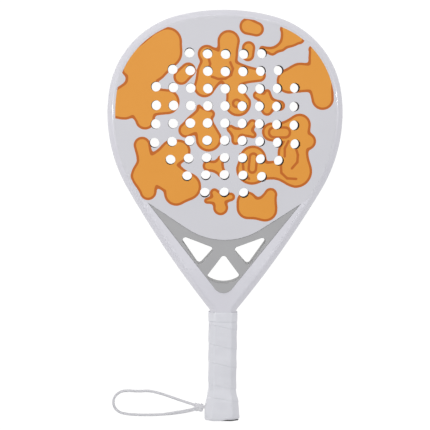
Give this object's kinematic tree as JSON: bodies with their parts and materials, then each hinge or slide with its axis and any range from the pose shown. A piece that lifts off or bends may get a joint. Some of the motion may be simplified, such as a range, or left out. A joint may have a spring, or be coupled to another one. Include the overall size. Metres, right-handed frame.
{
  "type": "padel racket",
  "caption": "Teardrop padel racket with a perforated foam-cored head, a windowed throat bridge, a wrapped octagonal handle and a wrist cord.",
  "frame": {"origin": "under the middle of the racket (half of its width and half of its length), on the surface that it lies on, with the wrist cord left out", "axes": "+Y from the handle to the head along the long axis, +Z out of the front face (up, as the racket lies on its back face), +X to the right seen from the front"},
  "size_m": [0.26, 0.455, 0.038],
  "materials": {
    "frame_lacquer": "lacquered composite tube, satin gloss",
    "face_laminate": "lacquered glass fibre laminate with an orange print",
    "core_foam": "drilled black foam",
    "bridge_lacquer": "grey lacquer",
    "filler_foam": "rigid moulded foam",
    "cap_plastic": "moulded plastic",
    "grip_cushion": "synthetic cushion strip, matt",
    "closing_tape": "thin adhesive film",
    "cord_fabric": "woven flat cord"
  },
  "bodies": {
    "root": {"frame_tube": "frame_lacquer", "core": "core_foam", "front_skin": "face_laminate", "back_skin": "face_laminate", "throat_bridge": "bridge_lacquer", "bridge_foam": "filler_foam", "handle_pallet_front": "filler_foam", "handle_pallet_back": "filler_foam", "butt_cap": "cap_plastic", "base_grip": "grip_cushion", "grip_finishing_tape": "closing_tape", "wrist_cord": "cord_fabric", "cord_knot": "cord_fabric", "cord_stop_knot": "cord_fabric"}
  },
  "joints": []
}
